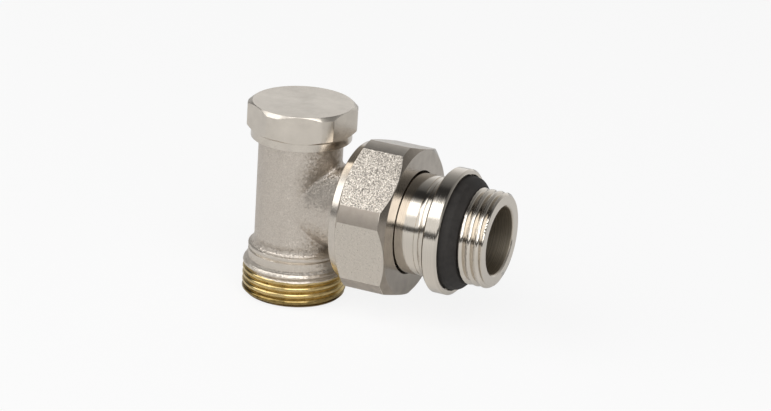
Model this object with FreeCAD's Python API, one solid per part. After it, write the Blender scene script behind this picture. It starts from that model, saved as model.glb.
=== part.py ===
import FreeCAD, Part
import math
import os

# An angle lockshield radiator valve with its hexagon cap, union nut and
# self-sealing tailpiece.  Millimetres.  The origin is the middle of the pipe
# connection's end face, +Z runs up the body, +X runs out along the tailpiece.

# where the two axes cross and how far each end reaches
axis_height = 21.8
tail_reach = 48.0

# the angles the two hexagons stand at
cap_turn = -67.0
nut_turn = -17.0

# pipe connection under the body, 23 x 1.5 thread
pipe_thread_d = 23.0
pipe_thread_len = 7.4
pipe_lead = 0.75
pipe_bore_d = 16.2
pipe_bore_depth = 8.0
pipe_mouth_d = 18.4
pipe_mouth_depth = 1.9

# turned base ring between the thread and the forged body
runout_len = 0.6
collar_d = 20.9
collar_top = 9.75
groove_depth = 0.3
groove_mid = 9.95
bead_bottom = 10.2
bead_d = 20.8
bead_bulge = 0.1
bead_top = 11.2
flare_top = 13.2

# forged body and the neck that carries the cap, 18 x 1 thread
body_d = 18.5
neck_d = 18.0
neck_base = 36.2
neck_step = 0.25
neck_top = 41.0
neck_lead = 0.5

# passages inside the body
throat_d = 12.4
throat_top = 12.5
seat_d = 8.6
seat_cone = 0.9
seat_floor = 15.0
seat_lip = 0.6
seat_lip_w = 0.6
stem_bore_d = 11.0
stem_bore_top = 33.4

# side branch with the union thread, G 3/4
branch_inset = 0.85
branch_spread = 0.25
branch_end = 13.2
union_thread_d = 26.44
union_thread_start = 14.8
union_thread_root_d = 24.1
union_shoulder = 13.8
union_lead = 0.8
branch_face = 24.0
branch_bore_d = 13.0
branch_socket_d = 18.8
branch_socket_start = 20.5
branch_blend = 0.9

# spindle that screws in the neck, 12 x 1 thread
stem_thread_d = 12.0
stem_thread_fit = 0.05
stem_head_bottom = 33.5
stem_head_top = 36.1
stem_key_af = 6.0
stem_key_depth = 5.1
plunger_fit = 0.08
plunger_bottom = 24.4
stub_d = 4.8
stub_bottom = 20.0
stub_groove_d = 3.9

# round rubber rings
stem_ring_section = 1.16
stem_ring_z = 29.4
stem_groove_w = 1.9
stem_groove_d = 8.4
tail_ring_section = 1.24
tail_ring_x = 22.5
tail_groove_w = 1.8
tail_groove_d = 16.1
ring_seat = 0.07

# retaining ring above the spindle
circlip_sink = 1.55
circlip_t = 0.8
circlip_d = 13.2
circlip_hole_d = 10.0
circlip_gap = 5.0
circlip_ear_d = 2.6
circlip_ear_hole_d = 1.0
circlip_ear_inset = 0.1
circlip_room = 0.05

# shutter, its seal, its screw and its clip
shutter_d = 10.4
shutter_bottom = 17.4
shutter_disc_t = 1.8
cup_d = 8.0
cup_top = 23.9
cup_floor = 19.6
cup_fit = 0.05
clip_z = 21.65
clip_t = 0.7
clip_d = 5.8
clip_gap = 1.6
clip_room = 0.05
seal_d = 10.0
seal_hole_d = 3.2
seal_lift = 0.15
seal_gap = 0.05
screw_d = 3.0
screw_head_d = 5.4
screw_head_t = 1.3
screw_slot_w = 0.8
screw_slot_depth = 0.6
screw_fit = 0.02
screw_head_edge = 0.3
screw_tip_gap = 0.2

# protective cap
cap_af = 22.2
cap_turned_d = 24.0
cap_bottom = 35.9
cap_collar_d = 22.1
cap_collar_top = 37.6
cap_lower_chamfer = 0.65
cap_top_bevel = 1.0
cap_top_drop = 0.7
cap_mouth_gap = 0.2
cap_mouth_depth = 1.0
cap_thread_fit = 0.05
cap_relief_gap = 0.3
cap_roof_t = 1.8
cap_seal_room = 0.6
cap_seal_w = 2.0
cap_seal_t = 0.7
cap_seal_gap = 0.1

# union nut
nut_af = 32.0
nut_turned_d = 36.0
nut_back = 14.6
nut_front = 28.1
nut_front_face_d = 31.8
nut_front_angle = 38.0
nut_collar_d = 31.6
nut_collar_len = 1.9
nut_collar_edge = 0.3
nut_back_angle = 30.0
nut_hole_gap = 0.55
nut_web_t = 1.7
nut_thread_fit = 0.05
nut_relief_gap = 1.0
nut_relief_len = 1.7
nut_mouth_lead = 0.6

# tailpiece, G 1/2 thread to the radiator
tail_thread_d = 20.955
tail_thread_start = 42.35
tail_lead = 0.6
tail_spigot_d = 18.6
tail_spigot_start = 20.8
tail_spigot_edge = 0.4
tail_shoulder_x = 24.2
tail_shoulder_rise = 0.2
tail_barrel_d = 22.0
tail_step_x = 32.6
tail_step_w = 1.0
tail_step_depth = 0.15
tail_root_rise = 0.5
flange_d = 27.5
flange_back = 35.6
flange_front = 39.1
flange_edge = 0.4
flange_lip_w = 1.0
flange_recess = 1.2
tail_undercut_d = 18.8
tail_bore_d = 14.8
tail_bore_start = 37.0
tail_bore_mouth = 0.4
tail_inner_d = 13.2
tail_key_af = 12.0
tail_key_start = 29.0

# split ring that holds the nut on the tailpiece
split_x = 25.2
split_t = 1.0
split_grip = 1.15
split_groove_depth = 0.8
split_room = 0.1
split_gap = 2.5

# moulded gasket in the flange
gasket_back_gap = 0.05
gasket_rim_gap = 0.3
gasket_bore_gap = 0.1
gasket_shoulder = 39.3
gasket_bend = 40.7
gasket_bend_d = 24.3
gasket_front = 42.25
gasket_nose_d = 21.2

# the branch starts a little narrower than the body and ends a little wider
branch_root_d = body_d - 2 * branch_inset
branch_end_d = body_d + 2 * branch_spread

# what stands up from the tailpiece's barrel or is cut into it
tail_shoulder_d = tail_barrel_d + 2 * tail_shoulder_rise
tail_root_d = tail_barrel_d + 2 * tail_root_rise
split_root_d = tail_barrel_d - 2 * split_groove_depth

# the retaining ring's groove lies a set way down from the neck's top
circlip_z = neck_top - circlip_sink

# the cap's mouth passes over the neck and the body's top, its ceiling lies on the seal
cap_mouth_d = max(neck_d, body_d) + 2 * cap_mouth_gap
cap_relief_d = neck_d + 2 * cap_relief_gap
cap_seal_d = cap_relief_d - 2 * cap_seal_room
cap_seal_hole_d = cap_seal_d - 2 * cap_seal_w
cap_ceiling = neck_top + cap_seal_t + 2 * cap_seal_gap
cap_top = cap_ceiling + cap_roof_t

# the nut passes over the tailpiece and is caught by the split ring
nut_hole_d = tail_shoulder_d + 2 * nut_hole_gap
split_d = nut_hole_d + 2 * split_grip
nut_relief_d = split_d + 2 * nut_relief_gap

# how far a cutting shape runs past what it cuts, and what counts as touching
over = 1.0
near = 0.01

os.makedirs("parts", exist_ok=True)

Z = FreeCAD.Vector(0, 0, 1)
ORIGIN = FreeCAD.Vector(0, 0, 0)


def point(r, h):
    return FreeCAD.Vector(r, 0, h)


def turned(steps):
    """A solid of revolution about Z.  A step is (r, h), or (r, h, rm, hm) for an
    arc that runs through (rm, hm) to (r, h)."""
    edges = []
    last = point(steps[0][0], steps[0][1])
    first = last
    for step in steps[1:]:
        here = point(step[0], step[1])
        if len(step) == 4:
            edges.append(Part.Arc(last, point(step[2], step[3]), here).toShape())
        else:
            edges.append(Part.makeLine(last, here))
        last = here
    if last.distanceToPoint(first) > 1e-7:
        edges.append(Part.makeLine(last, first))
    face = Part.Face(Part.Wire(edges))
    return face.revolve(ORIGIN, Z, 360)


def tube(r_in, r_out, low, high):
    return turned([(r_in, low), (r_out, low), (r_out, high), (r_in, high)])


def rod(r, low, high):
    return Part.makeCylinder(r, high - low, FreeCAD.Vector(0, 0, low), Z)


def hexagon(across, low, high, turn=0.0):
    corners = []
    for k in range(7):
        a = math.radians(60 * k + 30 + turn)
        r = across / 2 / math.cos(math.radians(30))
        corners.append(FreeCAD.Vector(r * math.cos(a), r * math.sin(a), low))
    face = Part.Face(Part.makePolygon(corners))
    return face.extrude(FreeCAD.Vector(0, 0, high - low))


def ring(r, section, h):
    return Part.makeTorus(r, section / 2, FreeCAD.Vector(0, 0, h), Z)


def laid(shape):
    """Lay a piece built about Z along +X, on the height of the tailpiece."""
    out = shape.copy()
    out.rotate(ORIGIN, FreeCAD.Vector(0, 1, 0), 90)
    out.translate(FreeCAD.Vector(0, 0, axis_height))
    return out


def save(name, shape):
    solid = shape.Solids[0] if len(shape.Solids) == 1 else shape
    solid.exportStep("parts/%s.step" % name)


def on_branch(p):
    """True for a point on the branch's cone, short of the cone's outer end."""
    slope = (branch_end_d - branch_root_d) / 2 / branch_end
    r = math.hypot(p.y, p.z - axis_height)
    return p.x < branch_end - near and abs(r - branch_root_d / 2 - slope * p.x) < near


def body_outside():
    r_thread = pipe_thread_d / 2
    r_collar = collar_d / 2
    r_bead = bead_d / 2
    r_body = body_d / 2
    r_neck = neck_d / 2
    bead_mid = (bead_bottom + bead_top) / 2
    flare_r = r_body + (r_bead - r_body) * 0.32
    flare_z = bead_top + (flare_top - bead_top) * 0.36
    upright = turned([
        (0, 0),
        (r_thread - pipe_lead, 0),
        (r_thread, pipe_lead),
        (r_thread, pipe_thread_len),
        (r_collar, pipe_thread_len + runout_len),
        (r_collar, collar_top),
        (r_collar - groove_depth, groove_mid),
        (r_bead, bead_bottom),
        (r_bead, bead_top, r_bead + bead_bulge, bead_mid),
        (r_body, flare_top, flare_r, flare_z),
        (r_body, neck_base),
        (r_neck, neck_base + neck_step),
        (r_neck, neck_top - neck_lead),
        (r_neck - neck_lead, neck_top),
        (0, neck_top),
    ])
    branch = laid(turned([
        (0, 0),
        (branch_root_d / 2, 0),
        (branch_end_d / 2, branch_end),
        (union_thread_root_d / 2, union_shoulder),
        (union_thread_d / 2, union_thread_start),
        (union_thread_d / 2, branch_face - union_lead),
        (union_thread_d / 2 - union_lead, branch_face),
        (0, branch_face),
    ]))
    core = rod(r_body, 0, neck_base).fuse(branch)
    crease = []
    for edge in core.Edges:
        ends = (edge.FirstParameter, edge.LastParameter)
        middle = edge.valueAt((ends[0] + ends[1]) / 2)
        on_cone = all(on_branch(p) for p in (edge.valueAt(ends[0]), middle, edge.valueAt(ends[1])))
        if on_cone and edge.Curve.TypeId != "Part::GeomLine":
            crease.append(edge)
    return upright.fuse(core.makeFillet(branch_blend, crease)).removeSplitter()


def body_inside():
    upright = turned([
        (0, -over),
        (pipe_mouth_d / 2, -over),
        (pipe_mouth_d / 2, 0),
        (pipe_bore_d / 2, pipe_mouth_depth),
        (pipe_bore_d / 2, pipe_bore_depth),
        (throat_d / 2, pipe_bore_depth),
        (throat_d / 2, throat_top),
        (seat_d / 2, throat_top + seat_cone),
        (seat_d / 2, seat_floor + seat_lip),
        (seat_d / 2 + seat_lip_w, seat_floor + seat_lip),
        (seat_d / 2 + seat_lip_w, seat_floor),
        (stem_bore_d / 2, seat_floor),
        (stem_bore_d / 2, stem_bore_top),
        (stem_thread_d / 2 + stem_thread_fit, stem_bore_top),
        (stem_thread_d / 2 + stem_thread_fit, circlip_z - circlip_room),
        (circlip_d / 2 + circlip_room, circlip_z - circlip_room),
        (circlip_d / 2 + circlip_room, circlip_z + circlip_t + circlip_room),
        (stem_thread_d / 2 + stem_thread_fit, circlip_z + circlip_t + circlip_room),
        (stem_thread_d / 2 + stem_thread_fit, neck_top + over),
        (0, neck_top + over),
    ])
    side = laid(turned([
        (0, 0),
        (branch_bore_d / 2, 0),
        (branch_bore_d / 2, branch_socket_start),
        (branch_socket_d / 2, branch_socket_start),
        (branch_socket_d / 2, branch_face + over),
        (0, branch_face + over),
    ]))
    return upright.fuse(side)


def valve_body():
    return body_outside().cut(body_inside())


def spindle():
    r_head = stem_thread_d / 2
    r_plunger = stem_bore_d / 2 - plunger_fit
    groove_low = stem_ring_z - stem_groove_w / 2
    groove_high = stem_ring_z + stem_groove_w / 2
    solid = turned([
        (0, stub_bottom),
        (stub_d / 2, stub_bottom),
        (stub_d / 2, clip_z - clip_room),
        (stub_groove_d / 2, clip_z - clip_room),
        (stub_groove_d / 2, clip_z + clip_t + clip_room),
        (stub_d / 2, clip_z + clip_t + clip_room),
        (stub_d / 2, plunger_bottom),
        (r_plunger, plunger_bottom),
        (r_plunger, groove_low),
        (stem_groove_d / 2, groove_low),
        (stem_groove_d / 2, groove_high),
        (r_plunger, groove_high),
        (r_plunger, stem_head_bottom),
        (r_head, stem_head_bottom),
        (r_head, stem_head_top),
        (0, stem_head_top),
    ])
    return solid.cut(hexagon(stem_key_af, stem_head_top - stem_key_depth, stem_head_top + over))


def spindle_oring():
    r = stem_groove_d / 2 + ring_seat + stem_ring_section / 2
    return ring(r, stem_ring_section, stem_ring_z)


def spindle_circlip():
    low = circlip_z
    high = circlip_z + circlip_t
    solid = tube(circlip_hole_d / 2, circlip_d / 2, low, high)
    slot = Part.makeBox(circlip_d, circlip_gap, circlip_t + 2 * over)
    slot.translate(FreeCAD.Vector(0, -circlip_gap / 2, low - over))
    solid = solid.cut(slot)
    r_ear = circlip_d / 2 - circlip_ear_d / 2 - circlip_ear_inset
    for side in (-1, 1):
        a = side * math.asin((circlip_gap / 2 + circlip_ear_d / 2) / r_ear)
        middle = FreeCAD.Vector(r_ear * math.cos(a), r_ear * math.sin(a), low)
        ear = Part.makeCylinder(circlip_ear_d / 2, circlip_t, middle, Z)
        solid = solid.fuse(ear)
        hole = Part.makeCylinder(circlip_ear_hole_d / 2, circlip_t, middle, Z)
        solid = solid.cut(hole)
    return solid.removeSplitter()


def shutter():
    r_bore = stub_d / 2 + cup_fit
    disc_top = shutter_bottom + shutter_disc_t
    return turned([
        (screw_d / 2 + screw_fit, shutter_bottom),
        (shutter_d / 2, shutter_bottom),
        (shutter_d / 2, disc_top),
        (cup_d / 2, disc_top),
        (cup_d / 2, cup_top),
        (r_bore, cup_top),
        (r_bore, clip_z + clip_t + clip_room),
        (clip_d / 2 + clip_room, clip_z + clip_t + clip_room),
        (clip_d / 2 + clip_room, clip_z - clip_room),
        (r_bore, clip_z - clip_room),
        (r_bore, cup_floor),
        (screw_d / 2 + screw_fit, cup_floor),
    ])


def shutter_clip():
    low = clip_z
    high = clip_z + clip_t
    solid = tube(stub_groove_d / 2 + clip_room, clip_d / 2, low, high)
    slot = Part.makeBox(clip_d, clip_gap, clip_t + 2 * over)
    slot.translate(FreeCAD.Vector(0, -clip_gap / 2, low - over))
    return solid.cut(slot)


def shutter_seal():
    low = seat_floor + seat_lip + seal_lift
    return tube(seal_hole_d / 2, seal_d / 2, low, shutter_bottom - seal_gap)


def seal_screw():
    seat = seat_floor + seat_lip + seal_lift - seal_gap
    low = seat - screw_head_t
    solid = turned([
        (0, low),
        (screw_head_d / 2 - screw_head_edge, low),
        (screw_head_d / 2, low + screw_head_edge),
        (screw_head_d / 2, seat),
        (screw_d / 2, seat),
        (screw_d / 2, cup_floor - screw_tip_gap),
        (0, cup_floor - screw_tip_gap),
    ])
    slot = Part.makeBox(screw_head_d + 2 * over, screw_slot_w, screw_slot_depth + over)
    slot.translate(FreeCAD.Vector(-screw_head_d / 2 - over, -screw_slot_w / 2, low - over))
    return solid.cut(slot)


def protective_cap():
    r_collar = cap_collar_d / 2
    r_turned = cap_turned_d / 2
    blank = turned([
        (0, cap_bottom),
        (r_collar, cap_bottom),
        (r_collar, cap_collar_top),
        (r_turned, cap_collar_top + cap_lower_chamfer),
        (r_turned, cap_top - cap_top_drop),
        (r_turned - cap_top_bevel, cap_top),
        (0, cap_top),
    ])
    prism = hexagon(cap_af, cap_collar_top, cap_top + over, cap_turn)
    prism = prism.fuse(rod(r_turned + over, cap_bottom - over, cap_collar_top))
    inside = turned([
        (0, cap_bottom - over),
        (cap_mouth_d / 2, cap_bottom - over),
        (cap_mouth_d / 2, cap_bottom + cap_mouth_depth),
        (neck_d / 2 + cap_thread_fit, cap_bottom + cap_mouth_depth),
        (neck_d / 2 + cap_thread_fit, neck_top - neck_lead),
        (cap_relief_d / 2, neck_top - neck_lead),
        (cap_relief_d / 2, cap_ceiling),
        (0, cap_ceiling),
    ])
    return blank.common(prism).cut(inside)


def cap_seal():
    low = neck_top + cap_seal_gap
    return tube(cap_seal_hole_d / 2, cap_seal_d / 2, low, low + cap_seal_t)


def union_nut():
    r_turned = nut_turned_d / 2
    r_collar = nut_collar_d / 2
    front_drop = (r_turned - nut_front_face_d / 2) * math.tan(math.radians(nut_front_angle))
    back_drop = (r_turned - r_collar) * math.tan(math.radians(nut_back_angle))
    collar_end = nut_back + nut_collar_len
    blank = turned([
        (0, nut_back),
        (r_collar - nut_collar_edge, nut_back),
        (r_collar, nut_back + nut_collar_edge),
        (r_collar, collar_end),
        (r_turned, collar_end + back_drop),
        (r_turned, nut_front - front_drop),
        (nut_front_face_d / 2, nut_front),
        (0, nut_front),
    ])
    prism = hexagon(nut_af, nut_back - over, nut_front + over, nut_turn)
    r_thread = union_thread_d / 2 + nut_thread_fit
    web = nut_front - nut_web_t
    inside = turned([
        (0, nut_back - over),
        (r_thread + nut_mouth_lead, nut_back - over),
        (r_thread + nut_mouth_lead, nut_back),
        (r_thread, nut_back + nut_mouth_lead),
        (r_thread, web - nut_relief_len),
        (nut_relief_d / 2, web - nut_relief_len),
        (nut_relief_d / 2, web),
        (nut_hole_d / 2, web),
        (nut_hole_d / 2, nut_front + over),
        (0, nut_front + over),
    ])
    return laid(blank.common(prism).cut(inside))


def tailpiece():
    r_thread = tail_thread_d / 2
    r_flange = flange_d / 2
    r_lip = r_flange - flange_lip_w
    groove_low = tail_ring_x - tail_groove_w / 2
    groove_high = tail_ring_x + tail_groove_w / 2
    recess = flange_front - flange_recess
    outside = turned([
        (0, tail_spigot_start),
        (tail_spigot_d / 2 - tail_spigot_edge, tail_spigot_start),
        (tail_spigot_d / 2, tail_spigot_start + tail_spigot_edge),
        (tail_spigot_d / 2, groove_low),
        (tail_groove_d / 2, groove_low),
        (tail_groove_d / 2, groove_high),
        (tail_spigot_d / 2, groove_high),
        (tail_spigot_d / 2, tail_shoulder_x),
        (tail_shoulder_d / 2, tail_shoulder_x),
        (tail_shoulder_d / 2, split_x - split_room),
        (split_root_d / 2, split_x - split_room),
        (split_root_d / 2, split_x + split_t + split_room),
        (tail_barrel_d / 2, split_x + split_t + split_room),
        (tail_barrel_d / 2, tail_step_x),
        (tail_barrel_d / 2 - tail_step_depth, tail_step_x),
        (tail_barrel_d / 2 - tail_step_depth, tail_step_x + tail_step_w),
        (tail_barrel_d / 2, tail_step_x + tail_step_w),
        (tail_root_d / 2, flange_back),
        (r_flange - flange_edge, flange_back),
        (r_flange, flange_back + flange_edge),
        (r_flange, flange_front - flange_edge),
        (r_flange - flange_edge, flange_front),
        (r_lip, flange_front),
        (r_lip, recess),
        (tail_undercut_d / 2, recess),
        (tail_undercut_d / 2, tail_thread_start),
        (r_thread, tail_thread_start),
        (r_thread, tail_reach - tail_lead),
        (r_thread - tail_lead, tail_reach),
        (0, tail_reach),
    ])
    inside = turned([
        (0, tail_spigot_start - over),
        (tail_inner_d / 2, tail_spigot_start - over),
        (tail_inner_d / 2, tail_key_start),
        (0, tail_key_start),
    ])
    key = hexagon(tail_key_af, tail_key_start - over, tail_bore_start + over)
    mouth = turned([
        (0, tail_bore_start),
        (tail_bore_d / 2, tail_bore_start),
        (tail_bore_d / 2, tail_reach - tail_bore_mouth),
        (tail_bore_d / 2 + tail_bore_mouth, tail_reach),
        (tail_bore_d / 2 + tail_bore_mouth, tail_reach + over),
        (0, tail_reach + over),
    ])
    return laid(outside.cut(inside).cut(key).cut(mouth))


def split_ring():
    solid = tube(split_root_d / 2 + split_room, split_d / 2, split_x, split_x + split_t)
    slot = Part.makeBox(split_d, split_gap, split_t + 2 * over)
    slot.translate(FreeCAD.Vector(0, -split_gap / 2, split_x - over))
    return laid(solid.cut(slot))


def tail_oring():
    r = tail_groove_d / 2 + ring_seat + tail_ring_section / 2
    return laid(ring(r, tail_ring_section, tail_ring_x))


def flange_gasket():
    r_out = flange_d / 2 - flange_lip_w - gasket_rim_gap
    r_in = tail_undercut_d / 2 + gasket_bore_gap
    low = flange_front - flange_recess + gasket_back_gap
    return laid(turned([
        (r_in, low),
        (r_out, low),
        (r_out, gasket_shoulder),
        (gasket_bend_d / 2, gasket_bend),
        (gasket_nose_d / 2, gasket_front),
        (r_in, gasket_front),
    ]))


save("valve_body", valve_body())
save("spindle", spindle())
save("spindle_oring", spindle_oring())
save("spindle_circlip", spindle_circlip())
save("shutter", shutter())
save("shutter_clip", shutter_clip())
save("shutter_seal", shutter_seal())
save("seal_screw", seal_screw())
save("protective_cap", protective_cap())
save("cap_seal", cap_seal())
save("union_nut", union_nut())
save("tailpiece", tailpiece())
save("split_ring", split_ring())
save("tail_oring", tail_oring())
save("flange_gasket", flange_gasket())
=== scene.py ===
import math

import bmesh
import bpy
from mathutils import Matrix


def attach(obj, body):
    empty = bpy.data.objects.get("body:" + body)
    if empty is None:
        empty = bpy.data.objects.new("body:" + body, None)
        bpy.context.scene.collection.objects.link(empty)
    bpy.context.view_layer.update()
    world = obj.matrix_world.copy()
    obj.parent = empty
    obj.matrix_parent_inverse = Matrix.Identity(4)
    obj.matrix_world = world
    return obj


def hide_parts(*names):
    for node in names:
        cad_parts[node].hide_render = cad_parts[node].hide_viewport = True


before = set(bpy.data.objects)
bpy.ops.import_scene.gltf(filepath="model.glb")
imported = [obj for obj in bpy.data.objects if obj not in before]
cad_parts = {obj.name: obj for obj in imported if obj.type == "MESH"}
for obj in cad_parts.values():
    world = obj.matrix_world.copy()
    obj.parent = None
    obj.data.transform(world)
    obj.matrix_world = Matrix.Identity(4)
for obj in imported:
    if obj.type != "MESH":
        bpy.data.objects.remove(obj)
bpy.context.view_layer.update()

# Valve body: a hot-forged brass angle body, shot-blasted and nickel plated.
# Its three threads are cut after plating and show bare brass: the pipe thread
# below, the cap's thread on the neck and the union thread on the branch.
mm = 0.001
tail_axis = 21.8 * mm
steps_per_turn = 96


def only(piece):
    """Select one piece and nothing else."""
    bpy.ops.object.select_all(action="DESELECT")
    piece.select_set(True)
    bpy.context.view_layer.objects.active = piece


def pick(test):
    """In edit mode, select the vertices whose place passes the test."""
    bpy.ops.mesh.select_all(action="DESELECT")
    mesh = bmesh.from_edit_mesh(bpy.context.object.data)
    for corner in mesh.verts:
        if test(corner.co):
            corner.select_set(True)
    mesh.select_flush(True)
    bmesh.update_edit_mesh(bpy.context.object.data)


def finish_modifier(piece, kind, **settings):
    """Add a modifier to a piece, set it and apply it."""
    only(piece)
    bpy.ops.object.modifier_add(type=kind)
    modifier = piece.modifiers[-1]
    for key, value in settings.items():
        setattr(modifier, key, value)
    bpy.ops.object.modifier_apply(modifier=modifier.name)


def cut_with(piece, cutter, operation="DIFFERENCE"):
    """Cut a piece with another shape, which is then thrown away."""
    finish_modifier(piece, "BOOLEAN", operation=operation, solver="EXACT", object=cutter)
    only(cutter)
    bpy.ops.object.delete()
    only(piece)


def merged_copy(node, name):
    """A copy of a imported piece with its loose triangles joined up."""
    piece = bpy.data.objects.new(name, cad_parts[node].data.copy())
    piece.data.name = name
    piece.data.materials.clear()
    bpy.context.scene.collection.objects.link(piece)
    only(piece)
    bpy.ops.object.mode_set(mode="EDIT")
    bpy.ops.mesh.select_all(action="SELECT")
    bpy.ops.mesh.customdata_custom_splitnormals_clear()
    bpy.ops.mesh.remove_doubles(threshold=0.0005 * mm)
    bpy.ops.object.mode_set(mode="OBJECT")
    return piece


def thread_cutter(along, crest_r, pitch, start, turns, centre=(0, 0, 0)):
    """The groove of a thread with round crests: its section is drawn flat, then screwed along."""
    # half width and height above the root, both in pitches
    section = ((0.012, 0.021), (0.154, 0.266), (0.217, 0.349),
               (0.300, 0.412), (0.397, 0.452), (0.465, 0.4645))
    depth = 0.466 * pitch
    past_crest = 0.5 * mm
    widths = [2 * pitch * half for half, height in section]
    heights = [pitch * height for half, height in section]
    first = heights[1] - heights[0]
    upright = along == "Z"
    bpy.ops.object.select_all(action="DESELECT")
    bpy.ops.mesh.primitive_plane_add(size=first, rotation=(math.pi / 2, 0, 0))
    cutter = bpy.context.object
    bpy.ops.object.transform_apply(rotation=True)
    bpy.ops.object.mode_set(mode="EDIT")

    def outer(co):
        return (co.x if upright else co.z) > 0

    def widen(share):
        size = (1, 1, share) if upright else (share, 1, 1)
        bpy.ops.transform.resize(value=size, center_override=(0, 0, 0))

    def draw_out(length):
        step = (length, 0, 0) if upright else (0, 0, length)
        bpy.ops.mesh.extrude_region_move(TRANSFORM_OT_translate={"value": step})

    bpy.ops.mesh.select_all(action="SELECT")
    widen(widths[0] / first)
    pick(outer)
    widen(widths[1] / widths[0])
    for step in range(1, len(heights) - 1):
        draw_out(heights[step + 1] - heights[step])
        widen(widths[step + 1] / widths[step])
    draw_out(past_crest)
    bpy.ops.mesh.select_all(action="SELECT")
    bpy.ops.mesh.dissolve_limited(angle_limit=math.radians(0.5))
    bpy.ops.mesh.delete(type="ONLY_FACE")
    bpy.ops.mesh.select_all(action="SELECT")
    reach = crest_r - depth + heights[0] + first / 2
    place = (reach, 0, start) if upright else (start, 0, reach)
    bpy.ops.transform.translate(value=place)
    bpy.ops.object.mode_set(mode="OBJECT")
    finish_modifier(cutter, "SCREW", axis=along, angle=2 * math.pi, screw_offset=pitch,
                    iterations=turns, steps=steps_per_turn, render_steps=steps_per_turn)
    bpy.ops.object.mode_set(mode="EDIT")
    bpy.ops.mesh.select_all(action="SELECT")
    bpy.ops.mesh.fill_holes(sides=0)
    bpy.ops.mesh.normals_make_consistent(inside=False)
    bpy.ops.object.mode_set(mode="OBJECT")
    cutter.location = centre
    bpy.ops.object.transform_apply(location=True)
    return cutter


def smooth(piece, degrees):
    """Shade a piece smooth, apart from its sharper edges."""
    only(piece)
    bpy.ops.object.shade_smooth_by_angle(angle=math.radians(degrees))


def turned(name, along, steps, sides=192, centre=(0, 0, 0)):
    """A turned piece: a ring is drawn out step by step, (radius, place along the axis)."""
    upright = along == "Z"
    bpy.ops.object.select_all(action="DESELECT")
    first_r, first = steps[0]
    spin = (0, 0, 0) if upright else (0, math.pi / 2, 0)
    bpy.ops.mesh.primitive_circle_add(vertices=sides, radius=first_r, rotation=spin,
                                      location=axis_point(along, first, centre))
    piece = bpy.context.object
    piece.name = name
    piece.data.name = name
    bpy.ops.object.transform_apply(location=True, rotation=True)
    bpy.ops.object.mode_set(mode="EDIT")
    bpy.ops.mesh.select_all(action="SELECT")
    for (r, here), (next_r, there) in zip(steps, steps[1:]):
        move = (0, 0, there - here) if upright else (there - here, 0, 0)
        bpy.ops.mesh.extrude_region_move(TRANSFORM_OT_translate={"value": move})
        grow = next_r / r
        size = (grow, grow, 1) if upright else (1, grow, grow)
        bpy.ops.transform.resize(value=size, center_override=axis_point(along, there, centre))
    bpy.ops.mesh.select_all(action="SELECT")
    bpy.ops.mesh.remove_doubles(threshold=0.0005 * mm)
    bpy.ops.mesh.fill_holes(sides=0)
    bpy.ops.mesh.select_all(action="SELECT")
    bpy.ops.mesh.normals_make_consistent(inside=False)
    bpy.ops.object.mode_set(mode="OBJECT")
    return piece


def axis_point(along, distance, centre):
    """The point at a distance along the Z or the X axis of a centre."""
    if along == "Z":
        return (centre[0], centre[1], centre[2] + distance)
    return (centre[0] + distance, centre[1], centre[2])


def in_mm(*steps):
    """Pairs of radius and place that are written in millimetres."""
    return [(r * mm, h * mm) for r, h in steps]


body = merged_copy("valve_body", "forged_body")
cut_with(body, turned("rim_rounding", "Z", in_mm(
    (12.00, 6.70), (11.51, 6.70), (11.46, 7.00), (11.38, 7.25), (11.22, 7.50), (11.12, 7.66),
    (12.00, 7.72), (12.00, 6.70))))
cut_with(body, turned("bead_groove", "Z", in_mm(
    (11.00, 10.98), (10.48, 11.00), (10.32, 11.12), (10.06, 11.26), (10.00, 11.46), (11.00, 11.60),
    (11.00, 10.98))))
cut_with(body, thread_cutter("Z", crest_r=11.5 * mm, pitch=1.5 * mm, start=-2.3 * mm, turns=6))
cut_with(body, thread_cutter("Z", crest_r=9.0 * mm, pitch=1.0 * mm, start=37.0 * mm, turns=5))
cut_with(body, thread_cutter("X", crest_r=13.22 * mm, pitch=1.814 * mm, start=13.6 * mm, turns=7,
                             centre=(0, 0, tail_axis)))
smooth(body, 35)


def new_finish(name, **sockets):
    """A node material; values that are the same all over go straight on the shader."""
    finish = bpy.data.materials.new(name)
    finish.use_nodes = True
    shader = finish.node_tree.nodes["Principled BSDF"]
    for socket, value in sockets.items():
        shader.inputs[socket.replace("_", " ")].default_value = value
    return finish


def add(finish, kind, inputs=None, **settings):
    """Add a node, set it and wire its inputs."""
    node = finish.node_tree.nodes.new("ShaderNode" + kind)
    for key, value in settings.items():
        setattr(node, key, value)
    for socket, value in (inputs or {}).items():
        if isinstance(value, bpy.types.NodeSocket):
            finish.node_tree.links.new(value, node.inputs[socket])
        else:
            node.inputs[socket].default_value = value
    return node


def to_shader(finish, socket, value):
    """Wire a value to the shader."""
    shader = finish.node_tree.nodes["Principled BSDF"]
    finish.node_tree.links.new(value, shader.inputs[socket])


def ramp(finish, value, *stops):
    """A colour ramp; each stop is a position and a grey level or a colour."""
    node = add(finish, "ValToRGB", {"Fac": value})
    while len(node.color_ramp.elements) < len(stops):
        node.color_ramp.elements.new(0.5)
    for element, (position, colour) in zip(node.color_ramp.elements, stops):
        element.position = position
        rgb = colour if isinstance(colour, tuple) else (colour, colour, colour)
        element.color = (*rgb, 1)
    return node.outputs["Color"]


def place_on(finish, centre=(0, 0, 0)):
    """Where a point of the piece lies, seen from a centre."""
    coords = add(finish, "TexCoord").outputs["Object"]
    shift = add(finish, "VectorMath", {0: coords, 1: centre}, operation="SUBTRACT")
    return shift.outputs["Vector"]


def noise(finish, vector, scale, detail=2.0, roughness=0.5):
    """Cloudy noise from 0 to 1."""
    return add(finish, "TexNoise", {"Vector": vector, "Scale": scale, "Detail": detail,
                                    "Roughness": roughness}).outputs["Fac"]


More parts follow.
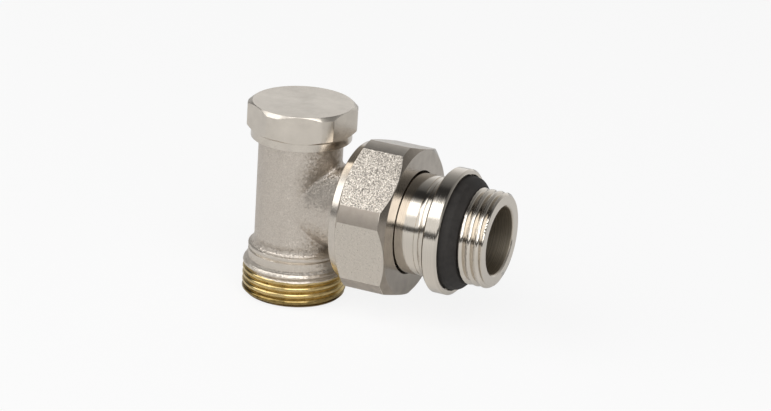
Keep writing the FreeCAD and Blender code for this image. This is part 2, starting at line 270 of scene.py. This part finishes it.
def bump(finish, height, depth, strength=1.0, under=None):
    """Fine relief on the normals, over another relief if there is one."""
    node = add(finish, "Bump", {"Height": height, "Distance": depth, "Strength": strength})
    if under is not None:
        finish.node_tree.links.new(under, node.inputs["Normal"])
    return node.outputs["Normal"]


def math_node(finish, operation, a, b=0.0, c=0.0):
    """One step of arithmetic on plain values."""
    return add(finish, "Math", {0: a, 1: b, 2: c}, operation=operation).outputs["Value"]


def times(finish, a, b):
    """The product of two plain values."""
    return math_node(finish, "MULTIPLY", a, b)


def scaled(finish, vector, share):
    """A vector made longer or shorter."""
    return add(finish, "VectorMath", {0: vector, "Scale": share}, operation="SCALE").outputs["Vector"]


def summed(finish, a, b):
    """The sum of two vectors."""
    return add(finish, "VectorMath", {0: a, 1: b}, operation="ADD").outputs["Vector"]


def mixed(finish, share, a, b):
    """One colour or level, with a share of another in its place."""
    node = add(finish, "Mix", data_type="RGBA")
    for socket, value in ((node.inputs[0], share), (node.inputs[6], a), (node.inputs[7], b)):
        if isinstance(value, bpy.types.NodeSocket):
            finish.node_tree.links.new(value, socket)
        else:
            socket.default_value = (*value, 1)
    return node.outputs[2]


def off_axis(finish, spot, along):
    """How far a point lies from the Z or the X axis."""
    across = (1, 1, 0) if along == "Z" else (0, 1, 1)
    flat = add(finish, "VectorMath", {0: spot, 1: across}, operation="MULTIPLY").outputs["Vector"]
    return add(finish, "VectorMath", {0: flat}, operation="LENGTH").outputs["Value"]


def lathe_lines(finish, spot, along, scale):
    """Fine rings left by a turning tool, on faces and on barrels alike."""
    place = add(finish, "SeparateXYZ", {"Vector": spot}).outputs[along]
    line = math_node(finish, "MULTIPLY_ADD", off_axis(finish, spot, along), 1.3, place)
    return add(finish, "TexNoise", {"W": line, "Scale": scale, "Detail": 3, "Roughness": 0.6},
               noise_dimensions="1D").outputs["Fac"]


def rising(finish, value, low, high):
    """0 at one place and before it, 1 at the other and past it."""
    return add(finish, "MapRange", {"Value": value, "From Min": low,
                                    "From Max": high}).outputs["Result"]


def between(finish, value, low, full, still, gone):
    """A band: it rises from low to full, holds until still and has faded at gone."""
    return times(finish, rising(finish, value, low, full), rising(finish, value, gone, still))


def grains(finish, spot, scale, lean, under=None):
    """Normals that lean another way from grain to grain, as blasting leaves them."""
    normal = under if under is not None else add(finish, "NewGeometry").outputs["Normal"]
    cells = add(finish, "TexVoronoi", {"Vector": spot, "Scale": scale}).outputs["Color"]
    tilt = add(finish, "VectorMath", {0: cells, 1: (0.5, 0.5, 0.5)},
               operation="SUBTRACT").outputs["Vector"]
    leant = summed(finish, normal, scaled(finish, tilt, lean))
    return add(finish, "VectorMath", {0: leant}, operation="NORMALIZE").outputs["Vector"]


blasted = new_finish("blasted_nickel_forging", Metallic=1.0)
spot = place_on(blasted)
grit_scale = 4200
grain = noise(blasted, spot, grit_scale, 3, 0.65)
mottle = noise(blasted, spot, 650, 3, 0.5)
nickel = mixed(blasted, mottle,
               ramp(blasted, grain, (0.3, (0.47, 0.42, 0.37)), (0.7, (0.66, 0.60, 0.53))),
               ramp(blasted, grain, (0.3, (0.54, 0.49, 0.43)), (0.7, (0.72, 0.66, 0.59))))
xyz = add(blasted, "SeparateXYZ", {"Vector": spot})
height = xyz.outputs["Z"]
outward = xyz.outputs["X"]

# turned base ring below the forging
rings = lathe_lines(blasted, spot, "Z", 5200)
lathe_cut = rising(blasted, height, 11.5 * mm, 11.2 * mm)
plated = mixed(blasted, lathe_cut, nickel,
               ramp(blasted, rings, (0.3, (0.61, 0.56, 0.49)), (0.7, (0.70, 0.64, 0.57))))

# bare brass where a thread was cut, with an uneven upper edge on the pipe thread, and painted shade
# towards the pipe's end
front = add(blasted, "VectorMath", {0: spot, 1: (0.5, -0.866, 0)},
            operation="DOT_PRODUCT").outputs["Value"]
tilted = math_node(blasted, "MULTIPLY_ADD", front, 0.055, height)
worn = math_node(blasted, "MULTIPLY_ADD", mottle, 0.4 * mm, tilted)
cut_low = rising(blasted, worn, 6.72 * mm, 6.58 * mm)
cut_high = rising(blasted, height, 36.45 * mm, 36.5 * mm)
cut_side = rising(blasted, outward, 15.3 * mm, 15.4 * mm)
cut_here = math_node(blasted, "MAXIMUM", math_node(blasted, "MAXIMUM", cut_low, cut_high), cut_side)
stain = noise(blasted, spot, 700, 4, 0.7)
# painted shade: the brass is painted darker towards the bottom, where the valve stands on the floor
foot_shade = rising(blasted, height, 2.1 * mm, 1.4 * mm)
unshaded_brass = ramp(blasted, stain, (0.26, (0.16, 0.10, 0.03)), (0.33, (0.50, 0.37, 0.15)),
                   (0.65, (0.64, 0.50, 0.25)))
painted_shade_brass = ramp(blasted, stain, (0.30, (0.13, 0.08, 0.02)), (0.45, (0.24, 0.17, 0.06)),
                  (0.70, (0.36, 0.26, 0.10)))
brass = mixed(blasted, foot_shade, unshaded_brass, painted_shade_brass)
to_shader(blasted, "Base Color", mixed(blasted, cut_here, plated, brass))
blasted_gloss = mixed(blasted, lathe_cut, ramp(blasted, grain, (0.25, 0.48), (0.75, 0.34)),
                      ramp(blasted, grain, (0.3, 0.44), (0.7, 0.33)))
brass_gloss = ramp(blasted, stain, (0.28, 0.34), (0.45, 0.16))
to_shader(blasted, "Roughness", mixed(blasted, cut_here, blasted_gloss, brass_gloss))

# normals that lean on the branch's flank, the flare and the slope, and from grain to grain
from_tail = off_axis(blasted, place_on(blasted, (0, 0, tail_axis)), "X")
flank = times(blasted, rising(blasted, outward, 2.5 * mm, 6.0 * mm),
              rising(blasted, from_tail, 14.2 * mm, 13.7 * mm))
shoulder = between(blasted, height, 21.5 * mm, 25.0 * mm, 29.5 * mm, 33.0 * mm)
flare = between(blasted, height, 11.35 * mm, 11.7 * mm, 12.7 * mm, 13.6 * mm)
slope = between(blasted, height, 7.54 * mm, 7.60 * mm, 7.99 * mm, 8.05 * mm)
branch_lean = scaled(blasted, (-0.10, 0, -0.75), times(blasted, flank, shoulder))
base_lean = scaled(blasted, (0, 0, -0.5), math_node(blasted, "MULTIPLY_ADD", slope, 1.75, flare))
forged = summed(blasted, bump(blasted, rings, 0.004 * mm, 0.4),
                summed(blasted, branch_lean, base_lean))
turned_share = math_node(blasted, "MAXIMUM", cut_here, times(blasted, lathe_cut, 0.25))
bare = math_node(blasted, "SUBTRACT", 1.0, turned_share)
to_shader(blasted, "Normal", grains(blasted, spot, grit_scale, times(blasted, bare, 0.42), forged))
body.data.materials.append(blasted)
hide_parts("valve_body")
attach(body, "body")


# Shutter: a turned brass disc with a cup, hung on the spindle's end.  A rubber
# washer under it closes the seat, held by a slotted screw, and a wire clip
# keeps the cup on the spindle.
turned_brass = new_finish("turned_brass", Metallic=1.0)
spot = place_on(turned_brass)
lines = lathe_lines(turned_brass, spot, "Z", 5200)
tarnish = noise(turned_brass, spot, 420, 3, 0.6)
to_shader(turned_brass, "Base Color",
          ramp(turned_brass, tarnish, (0.3, (0.58, 0.40, 0.14)), (0.7, (0.78, 0.58, 0.26))))
to_shader(turned_brass, "Roughness", ramp(turned_brass, tarnish, (0.3, 0.38), (0.7, 0.22)))
to_shader(turned_brass, "Normal", bump(turned_brass, lines, 0.01 * mm, 0.5))

rubber = new_finish("seal_rubber", Metallic=0.0)
spot = place_on(rubber)
bloom = noise(rubber, spot, 1100, 4, 0.6)
to_shader(rubber, "Base Color",
          ramp(rubber, bloom, (0.3, (0.020, 0.020, 0.020)), (0.7, (0.040, 0.039, 0.038))))
to_shader(rubber, "Roughness", ramp(rubber, bloom, (0.3, 0.50), (0.7, 0.68)))
to_shader(rubber, "Normal", bump(rubber, bloom, 0.01 * mm, 0.3))

spring_steel = new_finish("spring_steel", Metallic=1.0)
spot = place_on(spring_steel)
temper = noise(spring_steel, spot, 800, 3, 0.6)
to_shader(spring_steel, "Base Color",
          ramp(spring_steel, temper, (0.3, (0.30, 0.30, 0.31)), (0.7, (0.46, 0.45, 0.45))))
to_shader(spring_steel, "Roughness", ramp(spring_steel, temper, (0.3, 0.42), (0.7, 0.28)))
to_shader(spring_steel, "Normal",
          bump(spring_steel, noise(spring_steel, spot, 5000), 0.006 * mm, 0.5))


def dress(node, finish):
    """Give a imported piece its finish."""
    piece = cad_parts[node]
    piece.data.materials.clear()
    piece.data.materials.append(finish)


dress("shutter", turned_brass)
dress("seal_screw", turned_brass)
dress("shutter_seal", rubber)
dress("shutter_clip", spring_steel)


# Spindle: a turned brass screw with a hexagon key socket in its head.  It runs
# in the neck's thread, sealed by a round ring, and a stamped retaining ring in
# the neck keeps it from coming out.
dress("spindle", turned_brass)
dress("spindle_oring", rubber)
dress("spindle_circlip", spring_steel)


# Protective cap: turned from hexagon bar and nickel plated to a satin finish,
# screwed over the neck.  A flat rubber ring under its ceiling seals it.
dress("cap_seal", rubber)


def hexagon_bar(along, across, low, high, turn, centre=(0, 0, 0)):
    """A hexagon bar to trim a turned blank with; turn is the angle of one of its flats."""
    upright = along == "Z"
    first_corner = 90
    flat_to_corner = 30
    bpy.ops.object.select_all(action="DESELECT")
    bpy.ops.mesh.primitive_cylinder_add(vertices=6, radius=across / 2 / math.cos(math.pi / 6),
                                        depth=high - low, location=(0, 0, 0))
    bar = bpy.context.object
    bar.rotation_euler = (0, 0, math.radians(turn + flat_to_corner - first_corner))
    bpy.ops.object.transform_apply(rotation=True)
    bar.rotation_euler = (0, 0, 0) if upright else (0, math.pi / 2, 0)
    bar.location = axis_point(along, (low + high) / 2, centre)
    bpy.ops.object.transform_apply(location=True, rotation=True)
    return bar


def soften(piece, width, degrees=15, segments=2, blend=40):
    """Break the sharp edges by a hair and keep the flats flat."""
    finish_modifier(piece, "BEVEL", width=width, segments=segments, limit_method="ANGLE",
                    angle_limit=math.radians(degrees), use_clamp_overlap=True)
    smooth(piece, blend)
    finish_modifier(piece, "WEIGHTED_NORMAL", mode="FACE_AREA", weight=60, keep_sharp=True)


cap = turned("hexagon_cap", "Z", in_mm(
    (11.00, 43.70), (12.00, 43.00), (12.00, 38.25), (11.05, 37.60), (11.05, 35.90),
    (9.45, 35.90), (9.45, 36.90), (9.05, 36.90), (9.05, 40.50), (9.30, 40.50), (9.30, 41.90)))
cut_with(cap, hexagon_bar("Z", across=22.2 * mm, low=34 * mm, high=45 * mm, turn=-67.0), "INTERSECT")
soften(cap, width=0.10 * mm, degrees=26, segments=2, blend=18)

satin = new_finish("satin_nickel_cap", Metallic=1.0, Anisotropic=0.55, Anisotropic_Rotation=0.25)
spot = place_on(satin)
lines = lathe_lines(satin, spot, "Z", 4200)
smudge = noise(satin, spot, 330, 4, 0.6)
fine = noise(satin, spot, 5200, 2, 0.5)

# the chamfer is painted lighter, partly as worn bright metal and partly as a painted highlight, and
# it is rougher than the rest; its normals lean outwards
normal = add(satin, "NewGeometry").outputs["True Normal"]
rise = add(satin, "SeparateXYZ", {"Vector": normal}).outputs["Z"]
chamfer = between(satin, rise, 0.30, 0.45, 0.96, 0.99)
to_shader(satin, "Base Color",
          mixed(satin, chamfer,
                ramp(satin, smudge, (0.3, (0.60, 0.55, 0.485)), (0.7, (0.69, 0.635, 0.56))),
                ramp(satin, smudge, (0.3, (0.62, 0.57, 0.50)), (0.7, (0.74, 0.69, 0.62)))))
to_shader(satin, "Roughness",
          mixed(satin, chamfer,
                ramp(satin, fine, (0.3, 0.26), (0.7, 0.18)),
                ramp(satin, fine, (0.3, 0.44), (0.7, 0.32))))
brushed = bump(satin, fine, 0.01 * mm, 0.35, bump(satin, lines, 0.006 * mm, 0.5))
to_shader(satin, "Normal", summed(satin, brushed, scaled(satin, (0, 0, -0.42), chamfer)))
to_shader(satin, "Tangent",
          add(satin, "Tangent", direction_type="RADIAL", axis="Z").outputs["Tangent"])
cap.data.materials.append(satin)
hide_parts("protective_cap")
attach(cap, "cap")


# Tailpiece: turned from brass bar and nickel plated bright.  Its spigot seals in
# the branch with a round ring, its flange carries the gasket and its thread
# screws into the radiator, driven by a hexagon key from inside.
tail_centre = (0, 0, tail_axis)
tail = turned("turned_tailpiece", "X", in_mm(
    (8.90, 20.80), (9.30, 21.20), (9.30, 21.60), (8.05, 21.60), (8.05, 23.40), (9.30, 23.40),
    (9.30, 24.20), (11.20, 24.20), (11.20, 25.10), (10.20, 25.10), (10.20, 26.30), (11.00, 26.30),
    (11.00, 32.60), (10.85, 32.64), (10.85, 33.56), (11.00, 33.60), (11.50, 35.60), (13.35, 35.60),
    (13.75, 36.00), (13.75, 38.70), (13.35, 39.10), (12.75, 39.10), (12.75, 37.90), (9.40, 37.90),
    (9.40, 42.35), (10.4775, 42.35), (10.4775, 47.40), (9.8775, 48.00), (7.80, 48.00),
    (7.40, 47.60), (7.40, 37.00), (5.90, 37.00), (5.90, 29.00), (6.60, 29.00), (6.60, 20.80),
    (8.90, 20.80)), centre=tail_centre)
cut_with(tail, hexagon_bar("X", across=12.0 * mm, low=28.4 * mm, high=37.4 * mm, turn=0.0,
                           centre=tail_centre))
soften(tail, width=0.07 * mm, degrees=25)
cut_with(tail, thread_cutter("X", crest_r=10.4775 * mm, pitch=1.814 * mm, start=41.55 * mm, turns=5,
                             centre=tail_centre))
smooth(tail, 40)


def combed(finish, lines, lean):
    """Normals that lean a little round the X axis, ring by ring, as a tool mark leaves them."""
    normal = add(finish, "NewGeometry").outputs["Normal"]
    around = add(finish, "VectorMath", {0: (1, 0, 0), 1: normal},
                 operation="CROSS_PRODUCT").outputs["Vector"]
    sway = times(finish, math_node(finish, "SUBTRACT", lines, 0.5), lean)
    leant = summed(finish, normal, scaled(finish, around, sway))
    return add(finish, "VectorMath", {0: leant}, operation="NORMALIZE").outputs["Vector"]


bright = new_finish("bright_nickel_turning", Metallic=1.0)
spot = place_on(bright, tail_centre)
lines = lathe_lines(bright, spot, "X", 6500)
wander = noise(bright, spot, 500, 3, 0.6)
bored = rising(bright, off_axis(bright, spot, "X"), 7.65 * mm, 7.45 * mm)
to_shader(bright, "Base Color",
          mixed(bright, bored,
                ramp(bright, lines, (0.3, (0.61, 0.56, 0.49)), (0.7, (0.72, 0.665, 0.59))),
                ramp(bright, lines, (0.35, (0.25, 0.215, 0.165)), (0.65, (0.50, 0.44, 0.355)))))
to_shader(bright, "Roughness",
          mixed(bright, bored,
                ramp(bright, wander, (0.3, 0.08), (0.7, 0.13)),
                ramp(bright, lines, (0.3, 0.55), (0.7, 0.40))))
streaky = combed(bright, lines, 0.16)
to_shader(bright, "Normal", bump(bright, wander, 0.02 * mm, 0.12, streaky))
tail.data.materials.append(bright)
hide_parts("tailpiece")
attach(tail, "tail_set")
dress("tail_oring", rubber)


# Flange gasket: a moulded rubber ring pushed into the flange's recess.  Its
# tapered nose is squeezed against the radiator's face.
gasket = turned("moulded_gasket", "X", in_mm(
    (9.50, 37.95), (12.45, 37.95), (12.45, 39.30), (12.15, 40.70), (10.60, 42.25), (9.50, 42.25),
    (9.50, 37.95)), centre=tail_centre)
soften(gasket, width=0.28 * mm, degrees=20, segments=3)
moulded = new_finish("moulded_gasket_rubber", Metallic=0.0, Specular_IOR_Level=0.3)
spot = place_on(moulded)
dust = noise(moulded, spot, 700, 5, 0.65)
to_shader(moulded, "Base Color",
          ramp(moulded, dust, (0.3, (0.018, 0.016, 0.0145)), (0.7, (0.035, 0.0315, 0.029))))
to_shader(moulded, "Roughness", ramp(moulded, dust, (0.3, 0.62), (0.7, 0.80)))
to_shader(moulded, "Normal", bump(moulded, noise(moulded, spot, 3000, 3), 0.015 * mm, 0.4))
gasket.data.materials.append(moulded)
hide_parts("flange_gasket")
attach(gasket, "tail_set")


# Split ring: a spring steel ring sprung into the tailpiece's groove, which
# holds the union nut on it.
dress("split_ring", spring_steel)


# Union nut: a forged and turned brass hexagon, nickel plated.  The flats keep
# the blasted forging skin, while the corners, collar and face are turned.
nut_across = 32.0 * mm
nut = turned("hexagon_nut", "X", in_mm(
    (15.15, 14.60), (15.35, 14.80), (15.90, 16.55), (17.50, 17.480), (17.50, 26.850), (15.90, 28.10),
    (11.40, 28.10), (11.40, 26.40), (13.90, 26.40), (13.90, 24.70), (13.27, 24.70), (13.27, 15.20),
    (13.87, 14.60), (15.15, 14.60)), centre=tail_centre)
cut_with(nut, hexagon_bar("X", across=nut_across, low=13 * mm, high=30 * mm, turn=-17.0,
                          centre=tail_centre), "INTERSECT")
soften(nut, width=0.18 * mm, degrees=15, segments=2)

nut_turned = new_finish("turned_nickel_nut", Metallic=1.0)
spot = place_on(nut_turned, tail_centre)
lines = lathe_lines(nut_turned, spot, "X", 4800)
smudge = noise(nut_turned, spot, 420, 4, 0.6)
plain = ramp(nut_turned, smudge, (0.3, (0.57, 0.52, 0.46)), (0.7, (0.66, 0.605, 0.535)))
# shaded copies of the plating: painted shade for the front chamfer and face, and a painted brown
# reflection of the body for the side corners
painted_face_shade = ramp(nut_turned, smudge, (0.3, (0.41, 0.37, 0.325)), (0.7, (0.49, 0.445, 0.39)))
painted_chamfer_shade = ramp(nut_turned, smudge, (0.3, (0.27, 0.235, 0.195)), (0.7, (0.34, 0.30, 0.255)))
painted_body_reflection = ramp(nut_turned, smudge, (0.3, (0.34, 0.30, 0.26)), (0.7, (0.41, 0.365, 0.315)))

# painted shade darkens the front chamfer and the front face, and the side corners carry a painted
# brown reflection of the valve body
along = add(nut_turned, "SeparateXYZ", {"Vector": spot}).outputs["X"]
normal = add(nut_turned, "NewGeometry").outputs["Normal"]
facing = add(nut_turned, "SeparateXYZ", {"Vector": normal})
front = times(nut_turned, rising(nut_turned, along, 26.2 * mm, 26.6 * mm),
              rising(nut_turned, facing.outputs["X"], 0.60, 0.74))
corner = times(nut_turned, rising(nut_turned, along, 17.2 * mm, 17.5 * mm),
               times(nut_turned, rising(nut_turned, facing.outputs["X"], 0.12, 0.04),
                     rising(nut_turned, facing.outputs["Z"], 0.78, 0.60)))
painted_front_shade = mixed(nut_turned, rising(nut_turned, along, 28.05 * mm, 28.09 * mm), painted_chamfer_shade, painted_face_shade)
sides = mixed(nut_turned, corner, plain, painted_body_reflection)
to_shader(nut_turned, "Base Color", mixed(nut_turned, front, sides, painted_front_shade))
to_shader(nut_turned, "Roughness",
          mixed(nut_turned, corner,
                ramp(nut_turned, smudge, (0.3, 0.26), (0.7, 0.18)),
                ramp(nut_turned, smudge, (0.3, 0.46), (0.7, 0.36))))
to_shader(nut_turned, "Normal", bump(nut_turned, lines, 0.006 * mm, 0.5))
nut.data.materials.append(nut_turned)

nut_flat = new_finish("blasted_nickel_flat", Metallic=1.0)
spot = place_on(nut_flat, tail_centre)
grit = noise(nut_flat, spot, 4600, 2, 0.6)
to_shader(nut_flat, "Base Color",
          ramp(nut_flat, grit, (0.3, (0.52, 0.475, 0.42)), (0.7, (0.73, 0.67, 0.59))))
to_shader(nut_flat, "Roughness", ramp(nut_flat, grit, (0.3, 0.30), (0.7, 0.18)))
to_shader(nut_flat, "Normal", grains(nut_flat, spot, 6200, 0.13))
nut.data.materials.append(nut_flat)
for face in nut.data.polygons:
    reach = face.normal.y * face.center.y + face.normal.z * (face.center.z - tail_axis)
    if abs(face.normal.x) < 0.02 and abs(reach - nut_across / 2) < 0.02 * mm:
        face.material_index = 1
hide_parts("union_nut")
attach(nut, "nut")


# Studio: a pale floor under the pipe's end, two soft boxes in a wide bright
# screen in front and to the left, a white backdrop and a long lens at the
# photo's angle.
scene = bpy.context.scene
scene.view_settings.view_transform = "Standard"

bpy.ops.object.select_all(action="DESELECT")
floor_level = -0.4 * mm
bpy.ops.mesh.primitive_circle_add(vertices=96, radius=2.5, fill_type="NGON",
                                  location=(0, 0, floor_level))
floor = bpy.context.object
floor.name = "floor"
bpy.ops.object.transform_apply(location=True)
paper = bpy.data.materials.new("studio_paper")
paper.use_nodes = True
paper.node_tree.nodes.clear()
white_seen = 0.85
white_mirrored = 0.10
seen = add(paper, "LightPath")
mirrored = math_node(paper, "MAXIMUM", seen.outputs["Is Glossy Ray"],
                     seen.outputs["Is Transmission Ray"])
shown = math_node(paper, "MULTIPLY_ADD", seen.outputs["Is Camera Ray"], white_seen,
                  times(paper, mirrored, white_mirrored))
sheet = add(paper, "BsdfDiffuse", {"Color": (0.86, 0.86, 0.86, 1)})
white = add(paper, "Emission", {"Color": (1, 1, 1, 1), "Strength": 1.0})
blend = add(paper, "MixShader", {0: shown, 1: sheet.outputs["BSDF"], 2: white.outputs["Emission"]})
add(paper, "OutputMaterial", {"Surface": blend.outputs["Shader"]})
floor.data.materials.append(paper)

room = bpy.data.worlds.new("studio")
scene.world = room
room.use_nodes = True
room.node_tree.nodes.clear()
look = add(room, "TexCoord").outputs["Generated"]


def along_way(way):
    """How far the direction that is looked in goes along a way."""
    return add(room, "VectorMath", {0: look, 1: way}, operation="DOT_PRODUCT").outputs["Value"]


# a turn of 0.5 is towards the front, a climb of 1 is straight up
ahead = along_way((0.432, -0.902, 0.0))
aside = along_way((0.902, 0.432, 0.0))
turn = math_node(room, "MULTIPLY_ADD", math_node(room, "ARCTAN2", aside, ahead), 0.5 / math.pi, 0.5)
climb = times(room, math_node(room, "ARCSINE", along_way((0, 0, 1))), 2 / math.pi)
screen = times(room,
               ramp(room, turn, (0.19, 0.0), (0.225, 0.85), (0.615, 0.85), (0.655, 0.0)),
               ramp(room, climb, (0.09, 0.0), (0.125, 1.0), (0.655, 1.0), (0.73, 0.0)))
backdrop = times(room,
                 ramp(room, turn, (0.0, 0.90), (0.06, 0.50), (0.13, 0.12), (0.20, 0.10), (0.62, 0.12),
                      (0.68, 0.32), (0.82, 0.55), (0.92, 0.90), (1.0, 0.90)),
                 ramp(room, climb, (0.0, 1.0), (0.22, 0.95), (0.33, 0.68), (0.45, 0.47), (0.55, 0.38),
                      (0.66, 0.32)))
light = math_node(room, "ADD", screen, backdrop)
seen = add(room, "LightPath")
soft = add(room, "Background", {"Color": light, "Strength": 1.0})
back = add(room, "Background", {"Color": (1, 1, 1, 1), "Strength": 1.0})
mirrored = math_node(room, "MAXIMUM", seen.outputs["Is Glossy Ray"],
                     seen.outputs["Is Transmission Ray"])
behind = times(room,
               ramp(room, turn, (0.0, 1.0), (0.05, 0.0), (0.93, 0.0), (0.98, 1.0)),
               ramp(room, climb, (0.0, 1.0), (0.20, 0.0)))
shown = math_node(room, "MAXIMUM", seen.outputs["Is Camera Ray"], times(room, mirrored, behind))
mix = add(room, "MixShader", {0: shown, 1: soft.outputs["Background"], 2: back.outputs["Background"]})
add(room, "OutputWorld", {"Surface": mix.outputs["Shader"]})


def soft_box(name, turn, rise, reach, size, power):
    """A square soft box that looks at the middle of the valve from a compass turn and a rise."""
    middle_x, middle_z = 0.018, 0.02
    lamp = bpy.data.lights.new(name, "AREA")
    lamp.shape = "SQUARE"
    lamp.size = size
    lamp.energy = power
    box = bpy.data.objects.new(name, lamp)
    turn = math.radians(turn)
    rise = math.radians(rise)
    box.location = (middle_x + reach * math.cos(rise) * math.cos(turn),
                    reach * math.cos(rise) * math.sin(turn),
                    middle_z + reach * math.sin(rise))
    box.rotation_euler = (math.pi / 2 - rise, 0, turn + math.pi / 2)
    scene.collection.objects.link(box)


soft_box("front_soft_box", turn=-59.0, rise=36.0, reach=0.7, size=0.62, power=2.3)
soft_box("side_soft_box", turn=-143.0, rise=36.0, reach=0.7, size=0.62, power=1.6)

lens = bpy.data.cameras.new("camera")
lens.lens = 128.658
lens.sensor_width = 36.0
lens.clip_start = 0.01
camera = bpy.data.objects.new("camera", lens)
camera.location = (0.244629, -0.510825, 0.231134)
camera.rotation_euler = tuple(math.radians(a) for a in (69.5964, -3.4567, 24.9331))
scene.collection.objects.link(camera)
scene.camera = camera
